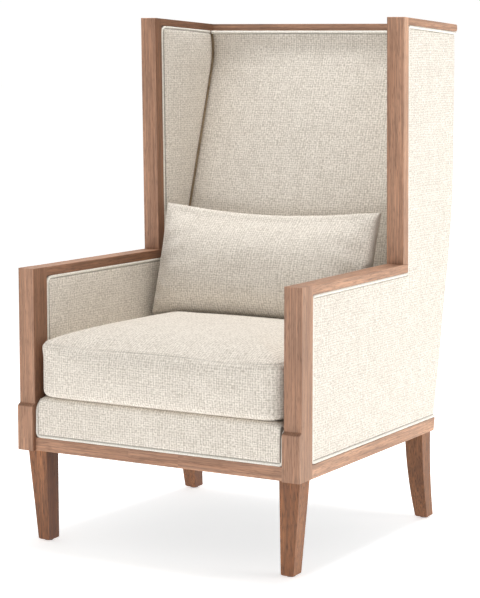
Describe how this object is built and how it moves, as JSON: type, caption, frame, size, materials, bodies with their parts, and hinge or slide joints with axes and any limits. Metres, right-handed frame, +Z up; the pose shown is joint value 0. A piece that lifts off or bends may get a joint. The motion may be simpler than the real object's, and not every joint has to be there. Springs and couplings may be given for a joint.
{
  "type": "accent chair",
  "caption": "High wing armchair with a bare brushed-wood frame, piped linen sides, raked inside back, swept back legs, loose seat cushion and lumbar pillow.",
  "frame": {"origin": "middle of the bounding box, on the floor under the glides", "axes": "+Z up, +Y from the front of the chair to its back, +X to the right of a person who faces the chair"},
  "size_m": [0.7124, 0.783, 1.1579],
  "materials": {
    "frame_wood": "brushed open-pored grain, matte",
    "leg_wood": "brushed open-pored grain, matte, a little darker",
    "hidden_wood": "planed, unfinished",
    "linen": "slubby plain-weave linen, matte",
    "piping": "corded linen, matte",
    "cushion_linen": "slubby plain-weave linen, matte",
    "deck_cloth": "plain lining cloth, matte",
    "webbing": "elastic webbing, matte",
    "dust_cloth": "thin non-woven cloth, matte",
    "bolt_steel": "zinc-plated",
    "glide_plastic": "moulded, matte"
  },
  "bodies": {
    "chair_frame": {"apron_welt": "piping", "arm_pad_left": "linen", "arm_pad_right": "linen", "arm_rail_left": "frame_wood", "arm_rail_right": "frame_wood", "arm_tack_rail_left": "hidden_wood", "arm_tack_rail_right": "hidden_wood", "arm_welt_left": "piping", "arm_welt_right": "piping", "back_beam_high": "hidden_wood", "back_beam_low": "hidden_wood", "back_pad": "linen", "back_post_left": "hidden_wood", "back_post_right": "hidden_wood", "back_rail": "frame_wood", "back_upright_left": "hidden_wood", "back_upright_right": "hidden_wood", "back_webbing": "webbing", "back_welt": "piping", "corner_block_back_left": "hidden_wood", "corner_block_back_right": "hidden_wood", "corner_block_front_left": "hidden_wood", "corner_block_front_right": "hidden_wood", "crest_rail": "frame_wood", "dust_cover": "dust_cloth", "front_apron": "linen", "front_beam": "hidden_wood", "front_post_left": "frame_wood", "front_post_right": "frame_wood", "front_rail_left": "frame_wood", "front_rail_middle": "frame_wood", "front_rail_right": "frame_wood", "glides": "glide_plastic", "leg_back_left": "leg_wood", "leg_back_right": "leg_wood", "leg_bolts": "bolt_steel", "leg_front_left": "leg_wood", "leg_front_right": "leg_wood", "outside_back": "linen", "outside_panel_left": "linen", "outside_panel_right": "linen", "outside_welt_left": "piping", "outside_welt_right": "piping", "seat_deck": "deck_cloth", "seat_webbing": "webbing", "side_rail_left": "frame_wood", "side_rail_right": "frame_wood", "wing_foot_rail_left": "hidden_wood", "wing_foot_rail_right": "hidden_wood", "wing_pad_left": "linen", "wing_pad_right": "linen", "wing_stile_left": "frame_wood", "wing_stile_right": "frame_wood", "wing_top_rail_left": "frame_wood", "wing_top_rail_right": "frame_wood", "wing_welt_left": "piping", "wing_welt_right": "piping"},
    "seat_cushion": {"seat_cushion": "cushion_linen"},
    "lumbar_pillow": {"lumbar_pillow": "cushion_linen"}
  },
  "joints": [
    {"name": "seat_cushion_lift", "type": "slide", "parent": "chair_frame", "child": "seat_cushion", "axis": [0, 0, 1], "range_m": [0, 0.25]},
    {"name": "lumbar_pillow_lift", "type": "slide", "parent": "seat_cushion", "child": "lumbar_pillow", "axis": [0, 0, 1], "range_m": [0, 0.3]}
  ]
}
